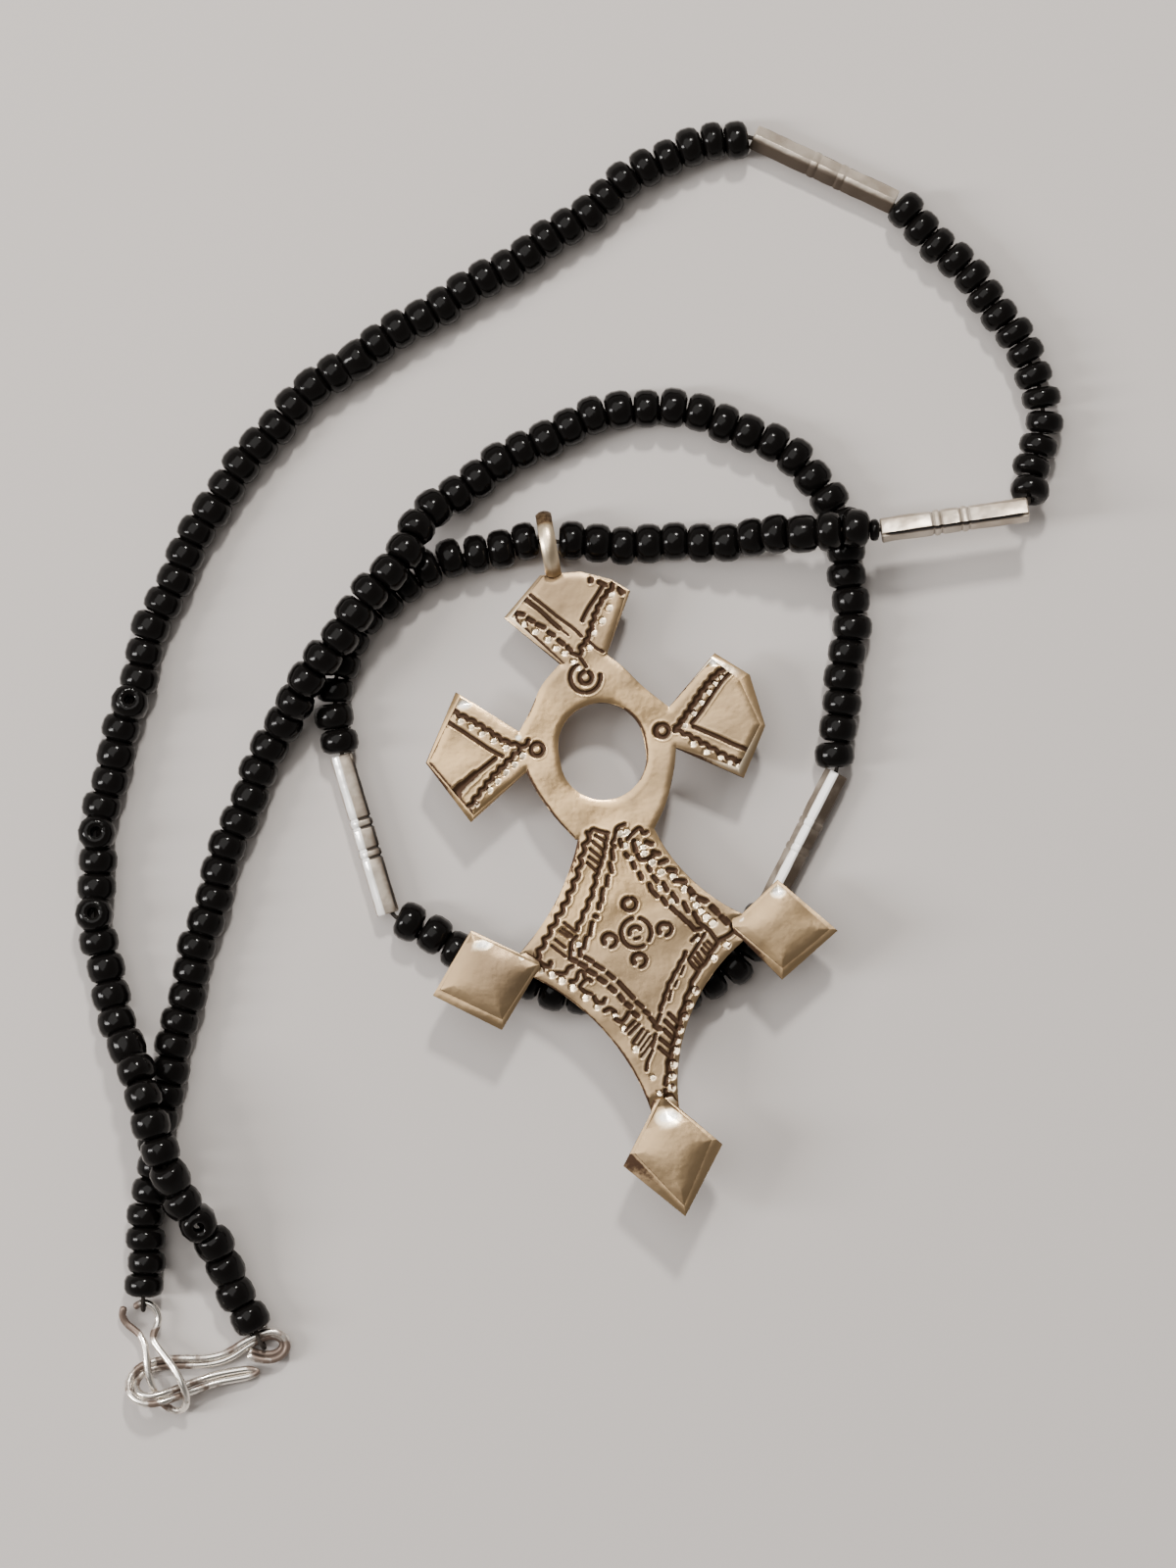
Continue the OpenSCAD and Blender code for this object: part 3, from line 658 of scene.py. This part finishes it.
class Engraving:
    # how deep each place on the cross is cut, how dark it is, and how far it is raised
    def __init__(self, places):
        self.places = places
        self.depth = np.zeros(len(places))
        self.dark = np.zeros(len(places))
        self.raised = np.zeros(len(places))
        self.bright = np.zeros(len(places))

    def near(self, line, reach):
        return ((self.places > line.min(0) - reach) & (self.places < line.max(0) + reach)).all(1)

    def cut(self, pixels, halfWidth, dark=1.0):
        line = fromPhoto(pixels)
        half = halfWidth * photo["mmPerPixel"] * crossLooks["weight"]
        full = half * crossLooks["shoulder"]
        near = self.near(line, full + 0.3)
        if not near.any():
            return
        distance = distanceTo(line, self.places[near])
        depth = min(crossLooks["lineDepth"], half * crossLooks["steep"])
        bowl = 0.5 + 0.5 * np.cos(math.pi * np.clip(distance / full, 0, 1))
        self.depth[near] = np.maximum(self.depth[near], depth * bowl)
        self.dark[near] = np.maximum(self.dark[near], dark * np.clip(1.35 - distance / half * 0.85, 0, 1))
        ridge = np.exp(-((distance - full - 0.03) / 0.07) ** 2)
        self.raised[near] = np.maximum(self.raised[near], crossLooks["burr"] * ridge)

    def punch(self, pixel, halfWidth, length, rise):
        # a slanted dent: deep on one side, and rising evenly to the face on the other
        middle = fromPhoto([pixel])[0]
        rise = (fromPhoto([(pixel[0] + rise[0], pixel[1] + rise[1])])[0] - middle)
        rise /= np.linalg.norm(rise)
        across = np.array([-rise[1], rise[0]])
        half = length / 2 * photo["mmPerPixel"]
        wide = halfWidth * photo["mmPerPixel"]
        near = self.near(middle[None, :], half + wide + 0.1)
        offset = self.places[near] - middle
        along = offset @ rise / half
        aside = offset @ across / wide
        inside = np.clip((1.15 - np.hypot(along, aside)) / 0.3, 0, 1)
        depth = crossLooks["punchSlope"] * half * (1 - along) * inside
        self.depth[near] = np.maximum(self.depth[near], depth)
        # the dent is painted lighter: partly clean cut metal, partly painted highlight
        self.bright[near] = np.maximum(self.bright[near], inside)

    def dome(self, pixel):
        middle = fromPhoto([pixel])[0]
        distance = np.linalg.norm(self.places - middle, axis=1)
        self.raised = np.maximum(self.raised, 0.07 * np.clip(1 - (distance / 0.36) ** 2, 0, 1))


def engrave(places):
    work = Engraving(places)
    for pixels, half, pitch, depth in lines.values():
        work.cut(scalloped(pixels, pitch, depth) if pitch else curved(pixels), half)
    for half, dark, ends in shortCuts.values():
        for x0, y0, x1, y1 in ends:
            work.cut(np.array([(x0, y0), (x1, y1)], float), half, dark)
    for half, length, rise, middles in brightPunches.values():
        for middle in middles:
            work.punch(middle, half * luck.uniform(1, 1.35), length * luck.uniform(1, 1.3), rise)
    for middle, radius, start, end, half in arcs.values():
        turns = np.radians(np.linspace(start, end, 20))
        work.cut(np.array(middle) + radius * np.stack([np.cos(turns), np.sin(turns)], axis=1), half)
    for middle in domes:
        work.dome(middle)
    return work


def crossAxes(piece):
    # right, up and out of the plate as it lies, and the middle of its ring on the top of the plate
    mesh = piece.data
    normal = max((face for face in mesh.polygons if face.normal.z > 0.99), key=lambda face: face.area)
    out = normal.normal.copy()
    lean = math.radians(photo["lean"])
    right = Vector((math.cos(lean), math.sin(lean), 0))
    up = out.cross(right).normalized()
    x, y = (value * mm for value in photo["ringCentre"])
    z = normal.center.z - (out.x * (x - normal.center.x) + out.y * (y - normal.center.y)) / out.z
    return np.array([right, up, out]), np.array([x, y, z])


def outlineOf(piece, top):
    # the edges between the faces that the test says yes to and the others, as pairs of points
    mesh = piece.data
    used = {}
    for face in mesh.polygons:
        for edge in face.edge_keys:
            used.setdefault(edge, []).append(top[face.index])
    places = points(piece)
    return [(places[a], places[b]) for (a, b), sides in used.items() if sides.count(True) == 1]


def gridCross(piece, axes, ring):
    # a coarse grid over the tops of the plate and the diamonds, and a fine one where it is engraved
    def top(middles, normals):
        return normals @ axes[2] > crossLooks["flat"]

    flat = (points(piece) - ring) @ axes.T
    step = crossLooks["cell"] * mm
    for axis in (0, 1):
        first = math.floor(flat[:, axis].min() / step)
        last = math.ceil(flat[:, axis].max() / step)
        pickFaces(piece, top)
        for k in range(first, last + 1):
            place = ring + axes[axis] * (k * step)
            bpy.ops.mesh.bisect(plane_co=place, plane_no=axes[axis])
            bpy.ops.object.mode_set(mode="OBJECT")
            pickFaces(piece, top)
        bpy.ops.object.mode_set(mode="OBJECT")

    count = len(piece.data.polygons)
    normals = np.empty(count * 3)
    piece.data.polygons.foreach_get("normal", normals)
    isTop = normals.reshape(-1, 3) @ axes[2] > crossLooks["flat"]
    outline = [((np.array(pair) - ring) @ axes.T / mm) for pair in outlineOf(piece, isTop)]

    def detailed(middles, normals):
        spot = (middles - ring) @ axes.T / mm
        u, v = spot[:, 0], spot[:, 1]
        arms = (v > 4.9) | ((np.abs(u) > 4.3) & (v > -5.2) & (np.abs(u) < 18))
        square = (v < -6.2) & (v > -34.6) & (np.abs(u) < 10.6)
        engraved = (arms | square) & (np.abs(spot[:, 2]) < 0.1)
        rim = edgeDistance(spot[:, :2], outline, 0.9) < 0.75
        return top(middles, normals) & (engraved | rim)

    pickFaces(piece, detailed)
    bpy.ops.mesh.quads_convert_to_tris(quad_method="BEAUTY", ngon_method="BEAUTY")
    bpy.ops.mesh.tris_convert_to_quads(face_threshold=math.radians(10), shape_threshold=math.radians(60))
    bpy.ops.mesh.subdivide(number_cuts=crossLooks["fine"])
    bpy.ops.object.mode_set(mode="OBJECT")
    return outline


def edgeDistance(places, outline, reach):
    # how far each place is from the outline, as far as the reach
    nearest = np.full(len(places), reach)
    for pair in outline:
        line = pair[:, :2]
        near = ((places > line.min(0) - reach) & (places < line.max(0) + reach)).all(1)
        if near.any():
            nearest[near] = np.minimum(nearest[near], distanceTo(line, places[near]))
    return nearest


def makeCross():
    piece = cadCopy("cross", "tuaregCross")
    axes, ring = crossAxes(piece)
    choose(piece)
    bpy.ops.object.mode_set(mode="EDIT")
    bpy.ops.mesh.select_all(action="SELECT")
    bpy.ops.mesh.dissolve_limited(angle_limit=math.radians(0.5))
    bpy.ops.mesh.select_all(action="DESELECT")
    bpy.ops.mesh.select_mode(type="EDGE")
    bpy.ops.mesh.edges_select_sharp(sharpness=math.radians(12))
    bpy.ops.mesh.bevel(offset=crossLooks["edge"] * mm, offset_type="OFFSET", segments=2, profile=0.5,
        clamp_overlap=True)
    bpy.ops.object.mode_set(mode="OBJECT")
    outline = gridCross(piece, axes, ring)
    places = points(piece)
    flat = (places - ring) @ axes.T / mm
    u, v, z = flat.T
    onTop = np.abs(z) < 0.02
    work = engrave(flat[onTop][:, :2])
    lift = np.zeros(len(places))
    lift[onTop] = np.where(work.depth > 0.02, -work.depth, work.raised)
    upper = (z > -0.25) & (v < 17.2)
    away = edgeDistance(flat[upper][:, :2], outline, crossLooks["diamondRim"])
    plain = z[upper] < 0.1
    rim = np.where(plain, crossLooks["rim"], crossLooks["diamondRim"])
    drop = np.where(plain, crossLooks["rimDrop"], crossLooks["diamondDrop"])
    lift[upper] -= drop * np.clip(1 - away / rim, 0, 1) ** 2
    waves = np.sin(u * 0.9 + 0.7) * np.sin(v * 0.6 + 0.4 * u) + 0.6 * np.sin(v * 1.3 - u * 0.5)
    lift[upper] += crossLooks["waves"] * waves[upper]
    for x, y, reach, aside, slope in crossLooks["catches"]:
        fall = slope * np.clip(v - (y - reach), 0, 1.5) * np.clip(y + 1.2 - v, 0, 1)
        lift -= np.where((np.abs(u - x) < aside) & (z > -0.3), fall, 0)
    for x, y in crossLooks["diamonds"]:
        share = np.hypot(u - x, v - y) / crossLooks["diamondReach"]
        lift += np.where(z > 0.2, crossLooks["crown"] * np.clip(1 - share ** 2, 0, 1), 0)
    setPoints(piece, places + lift[:, None] * axes[2] * mm)
    normals = np.empty(len(places) * 3)
    piece.data.vertices.foreach_get("normal", normals)
    normals = normals.reshape(-1, 3)
    bright = np.zeros(len(places))
    # painted light: sides of cuts that face the light are painted lighter, and their patina fainter
    paintedLitSide = np.clip((normals[onTop] @ paintedLightWay.normalized() - 0.22) / 0.2, 0, 1) * (work.depth > 0.01)
    bright[onTop] = np.maximum(work.bright, paintedLitSide * 0.6)
    # painted light: the bail's band is painted lighter, its left half more than its right
    bailStart, bailMiddle = crossLooks["bail"]
    band = (v > bailStart) & (v < crossLooks["capFrom"]) & (z > 0.3)
    bright = np.where(band, np.where(u < bailMiddle, 0.95, 0.6), bright)
    # darker further below the top face, and on the top the patina of the cuts
    patina = np.clip(0.12 - z * 0.2, 0, 0.4)
    patina[onTop] = work.dark * (1 - 0.3 * paintedLitSide)
    # painted shade: edges and walls that face away from the light are painted dark
    rimmed = np.zeros(len(places), bool)
    rimmed[upper] = plain & (away < crossLooks["rimShadeReach"])
    paintedRimShade = np.clip((normals @ paintedShadeWay.normalized() - 0.12) / 0.2, 0, 1) * 0.9
    patina = np.where(rimmed, np.maximum(patina, paintedRimShade), patina)
    paintedWallShade = np.clip((normals @ paintedShadeWay.normalized() - 0.4) / 0.2, 0, 1) * crossLooks["wallShade"]
    patina = np.where(v < bailStart, np.maximum(patina, paintedWallShade), patina)
    # painted shade: the end of the bail is painted dark
    patina = np.where(v > crossLooks["capFrom"], 0.5, patina)
    # painted highlights: spots on corners are painted white, and their painted dark is cleared
    for x, y, wide, high in paintedGlints:
        spot = fromPhoto([(x, y)])[0]
        away = np.hypot((u - spot[0]) / wide, (v - spot[1]) / high) / photo["mmPerPixel"]
        paintedGlintShare = np.clip((1.35 - away) / 0.8, 0, 1) * ((np.abs(z) < 0.02) | (z > 0.2))
        bright = np.maximum(bright, 2 * paintedGlintShare)
        patina *= 1 - paintedGlintShare
    # tones: partly the silver's own uneven tone, partly painted light and shade
    tone = np.zeros(len(places))
    for x, y, reach, amount in tonesAndShade:
        spot = fromPhoto([(x, y)])[0]
        away = np.hypot(u - spot[0], v - spot[1]) / (reach * photo["mmPerPixel"])
        tone += amount * np.exp(-away ** 2)
    paint(piece, "patina", patina)
    paint(piece, "bright", bright)
    paint(piece, "tone", tone)
    smoothByAngle(piece, 50)
    finishPiece(piece, "engraved_silver", engravedSilver, "cross")
    print("cross:", len(piece.data.polygons), "faces, bail from", v.max())


makeCross()


# Tubes of rolled sheet: one is modelled, and a copy is fitted in the place of each CAD tube

tube = {
    "half": 1.0,           # mm, from its middle to a flat side
    "corner": 0.39,        # mm, taken off each of three corners
    "seamCorner": 0.24,    # mm, taken off the fourth, where the sheet meets in a seam
    "seam": 0.25,          # mm, depth of the seam
    "seamEdge": 0.8,       # how tarnished its edges are
    "seamBand": 0.1,       # mm, that the tarnish reaches past them
    "bore": 0.42,          # its bore's width, as a part of its own
    "length": 15,          # mm, of the pattern
    "reach": 0.12,         # mm, that each end comes nearer to the next bead
    "collars": [0.43, 0.62],
    "collarPitch": 0.8,    # mm, between the two grooves of a collar
    "groove": 0.2,         # mm, half width of a groove
    "cut": 0.84,           # the size of the tube in a groove, and on the collar's ridge
    "ridge": 1.04,
    "edge": 0.05,          # mm, how far its edges are worn round
    "dents": 0.03,
}
# For each tube: degrees that it is turned about its length, how far its collars are worn flat, how dark their
# grooves are, and the strips across it that are painted dark as painted shade and light as painted highlights, from its
# left to its right along the string
tubes = {
    1: {"turn": -40, "flatter": 0.75, "grooves": 0.3, "dark": [(-1.5, -0.3, 0.75), (-0.3, 0.3, 0.25)], "bright": []},
    2: {"turn": 22, "flatter": 0.3, "grooves": 0.6, "dark": [], "bright": []},
    3: {"turn": -9, "flatter": 0, "grooves": 1.2, "dark": [(0.75, 1.5, 0.6)], "bright": [(-0.95, -0.3, 1.1)]},
    4: {"turn": -150, "flatter": 0.5, "grooves": 0.3, "dark": [(-1.5, 0.2, 0.66), (0.3, 1.5, 0.5)],
        "bright": [(-0.1, 0.75, 1.1)]},
}


def tubeStations():
    # places along the pattern, each with the size of the tube there
    length = tube["length"]
    stations = [(0, 0.93), (0.12, 1)]
    for place in tube["collars"]:
        middle = place * length
        gap = tube["collarPitch"] / 2
        groove = tube["groove"]
        stations += [(middle - gap - groove, 1), (middle - gap, tube["cut"]), (middle - gap + groove, tube["ridge"]),
            (middle + gap - groove, tube["ridge"]), (middle + gap, tube["cut"]), (middle + gap + groove, 1)]
    busy = [z for z, size in stations]
    stations += [(z, 1) for z in range(1, length) if min(abs(z - other) for other in busy) > 0.5]
    return sorted(stations) + [(length - 0.12, 1), (length, 0.93)]


def modelTube():
    half = tube["half"]
    deep = half - tube["seamCorner"] / 2 - tube["seam"]
    outline = []
    for quarter in range(4):
        turn = Matrix.Rotation(quarter * math.pi / 2, 2)
        cut = tube["corner"] if quarter else tube["seamCorner"]
        corner = [(half, half - cut), (half - cut, half)]
        if quarter == 0:
            clean = half - cut - tube["seamBand"]
            corner = [(half, clean), corner[0], (deep, deep), corner[1], (clean, half)]
        outline += [turn @ Vector(spot) for spot in corner]
    clearChoice()
    bpy.ops.mesh.primitive_circle_add(vertices=len(outline), radius=1, location=(0, 0, 0))
    piece = newest("tubePattern")
    stations = tubeStations()
    setPoints(piece, np.array([(x * stations[0][1], y * stations[0][1], 0) for x, y in outline]))
    choose(piece)
    bpy.ops.object.mode_set(mode="EDIT")
    bpy.ops.mesh.select_mode(type="VERT")
    bpy.ops.mesh.select_all(action="SELECT")
    bore = tube["bore"]
    path = stations + [(tube["length"], bore), (0, bore), stations[0]]
    for (z0, size0), (z1, size1) in zip(path, path[1:]):
        bpy.ops.mesh.extrude_region_move(TRANSFORM_OT_translate={"value": (0, 0, z1 - z0)})
        bpy.ops.transform.resize(value=(size1 / size0, size1 / size0, 1), center_override=(0, 0, z1))
    bpy.ops.mesh.select_all(action="SELECT")
    bpy.ops.mesh.remove_doubles(threshold=0.001)
    bpy.ops.mesh.normals_make_consistent(inside=False)
    bpy.ops.object.mode_set(mode="OBJECT")
    places = points(piece)
    grooves = np.zeros(len(places))
    for z, size in stations:
        if size == tube["cut"]:
            grooves[np.abs(places[:, 2] - z) < 0.01] = 1
    dark = np.zeros(len(places))
    seam = (places[:, :2].min(1) > deep * 0.8) & (np.abs(places[:, 0] - places[:, 1]) < 0.02)
    within = (places[:, 2] > 0.5) & (places[:, 2] < tube["length"] - 0.3)
    dark[(places[:, :2].min(1) > half - tube["seamCorner"] - 0.04) & within] = tube["seamEdge"]
    dark[seam & within] = 1.8
    paint(piece, "patina", dark)
    paint(piece, "groove", grooves)
    return piece


def placeTube(pattern, number):
    node = f"tube_bead_{number}"
    solid = solidsOf(node)[0]
    middle = (solid.min(0) + solid.max(0)) / 2
    spread, directions = np.linalg.eigh(np.cov((solid - solid.mean(0)).T))
    axis = directions[:, 2]
    along = (solid - middle) @ axis
    inner = along[np.abs(along) < 0.4 * along.max()]
    if inner.mean() < 0:
        axis, along, inner = -axis, -along, -inner
    length = along.max() - along.min()
    out = Vector(axis)
    side = Vector((-out.y, out.x, 0)).normalized()
    turn = Matrix((side, out.cross(side), out)).transposed().to_4x4()
    looks = tubes[number]
    roll = Matrix.Rotation(math.radians(looks["turn"]), 4, "Z")
    piece = pattern.copy()
    piece.data = pattern.data.copy()
    piece.name = piece.data.name = f"tubeBead{number}"
    bpy.context.scene.collection.objects.link(piece)
    places = points(piece)
    grooves = np.empty(len(places))
    piece.data.attributes["groove"].data.foreach_get("value", grooves)
    for place, groove in zip(places, grooves):
        place[:2] *= 1 + luck.uniform(-1, 1) * tube["dents"] + groove * looks["flatter"] * (1 / tube["cut"] - 1)
    setPoints(piece, places)
    patina = np.empty(len(places))
    piece.data.attributes["patina"].data.foreach_get("value", patina)
    # painted shade on the dark strips of facets and painted highlights on the light strips, by how far across the tube
    # they lie
    aside = np.array([(roll @ Vector(place)).x for place in places])
    patina = np.maximum(patina, grooves * looks["grooves"])
    for first, last, amount in looks["dark"]:
        patina = np.maximum(patina, np.where((aside > first) & (aside < last), amount, 0))
    piece.data.attributes["patina"].data.foreach_set("value", patina)
    bright = np.zeros(len(places))
    for first, last, amount in looks["bright"]:
        bright = np.maximum(bright, np.where((aside > first) & (aside < last), amount, 0))
    paint(piece, "bright", bright)
    length += 2 * tube["reach"] * mm
    size = Matrix.Diagonal((mm, mm, length / tube["length"], 1))
    start = Matrix.Translation(Vector(middle) - out * (length / 2))
    piece.data.transform(start @ turn @ roll @ size)
    choose(piece)
    worn = piece.modifiers.new("worn", "BEVEL")
    worn.width = tube["edge"] * mm
    worn.segments = 2
    worn.limit_method = "ANGLE"
    worn.angle_limit = math.radians(25)
    bpy.ops.object.modifier_apply(modifier=worn.name)
    smoothByAngle(piece, 35)
    finishPiece(piece, "rolled_silver", rolledSilver, node)
    print(piece.name, round(length / mm, 2), "mm,", len(piece.data.polygons), "faces")


tubePattern = modelTube()
for number in tubes:
    placeTube(tubePattern, number)
bpy.data.objects.remove(tubePattern)


# The clasp and the thread

def makeWire(node, name, slotName, finish, swell, darkSpot):
    # the CAD wire's six sides made round, and as thick as its corners; dark round a place: x, y and reach in mm
    piece = cadCopy(node, name)
    choose(piece)
    bpy.ops.object.mode_set(mode="EDIT")
    bpy.ops.mesh.select_all(action="SELECT")
    bpy.ops.mesh.tris_convert_to_quads(face_threshold=math.radians(60), shape_threshold=math.radians(60))
    bpy.ops.object.mode_set(mode="OBJECT")
    rounder = piece.modifiers.new("rounder", "SUBSURF")
    rounder.levels = rounder.render_levels = 2
    bpy.ops.object.modifier_apply(modifier=rounder.name)
    if swell:
        thicker = piece.modifiers.new("thicker", "DISPLACE")
        thicker.strength = swell * mm
        thicker.mid_level = 0
        bpy.ops.object.modifier_apply(modifier=thicker.name)
    bpy.ops.object.shade_smooth()
    x, y, reach = darkSpot
    away = np.hypot(points(piece)[:, 0] / mm - x, points(piece)[:, 1] / mm - y)
    paint(piece, "patina", 0.14 * np.clip(2 - away / reach, 0, 1))
    finishPiece(piece, slotName, finish, node)
    print(name, len(piece.data.polygons), "faces")


makeWire("clasp_hook", "claspHook", "silver_wire", silverWire, 0.08, (-28, -54.8, 1.6))
makeWire("clasp_eye", "claspEye", "silver_wire", silverWire, 0.08, (-42, -52, 1.2))
makeWire("thread", "beadThread", "dark_thread", darkThread, 0, (0, 0, 1))


# Stage, light and camera

stage = {
    "floor": 4.0,
    "floorColour": (0.52, 0.485, 0.465, 1),
    "air": (0.84, 0.80, 0.76, 1),
    "airStrength": 0.18,        # straight above
    "wallStrength": 0.7,        # level with the floor
    "wallTop": 0.9,             # how far up the walls shine, as the sine of the angle
}
# Columns of a lamp: place, size, power and colour
lamps = {
    "window": ((-0.75, -0.05, 0.48), (0.14, 0.4), 8, (1.0, 0.98, 0.96)),
    "lamp": ((0.06, 0.50, 0.56), (0.07, 0.07), 4.5, (1.0, 0.97, 0.92)),
    "ceiling": ((-0.5, 0.45, 1.35), (1.3, 1.3), 16, (1.0, 0.98, 0.95)),
}

clearChoice()
bpy.ops.mesh.primitive_plane_add(size=stage["floor"], location=(0, 0, 0))
floor = newest("floor")
floorFinish = Finish("floorPaint", {"Base Color": stage["floorColour"], "Roughness": 0.9})
floor.data.materials.append(floorFinish.material)

world = bpy.data.worlds.new("studio")
bpy.context.scene.world = world
world.use_nodes = True
sky = world.node_tree.nodes["Background"]
sky.inputs["Color"].default_value = stage["air"]
nodes = world.node_tree.nodes
links = world.node_tree.links
direction = nodes.new("ShaderNodeTexCoord")
parts = nodes.new("ShaderNodeSeparateXYZ")
fade = nodes.new("ShaderNodeMapRange")
fade.interpolation_type = "SMOOTHSTEP"
fade.inputs["From Min"].default_value = 0
fade.inputs["From Max"].default_value = stage["wallTop"]
fade.inputs["To Min"].default_value = stage["wallStrength"]
fade.inputs["To Max"].default_value = stage["airStrength"]
links.new(direction.outputs["Generated"], parts.inputs["Vector"])
links.new(parts.outputs["Z"], fade.inputs["Value"])
links.new(fade.outputs["Result"], sky.inputs["Strength"])

middle = Vector(photo["middle"]) * mm
for name, (place, size, power, colour) in lamps.items():
    bpy.ops.object.light_add(type="AREA", location=place)
    light = bpy.context.active_object
    light.name = name
    light.data.shape = "RECTANGLE"
    light.data.size, light.data.size_y = size
    light.data.energy = power
    light.data.color = colour
    light.rotation_euler = (middle - Vector(place)).to_track_quat("-Z", "Y").to_euler()

bpy.ops.object.camera_add(location=middle + Vector((0, 0, photo["distance"] * mm)), rotation=(0, 0, 0))
camera = bpy.context.active_object
camera.data.sensor_width = 36
camera.data.lens = camera.data.sensor_width * photo["distance"] / photo["height"]
camera.data.clip_start = 0.01
bpy.context.scene.camera = camera
print("stage set")
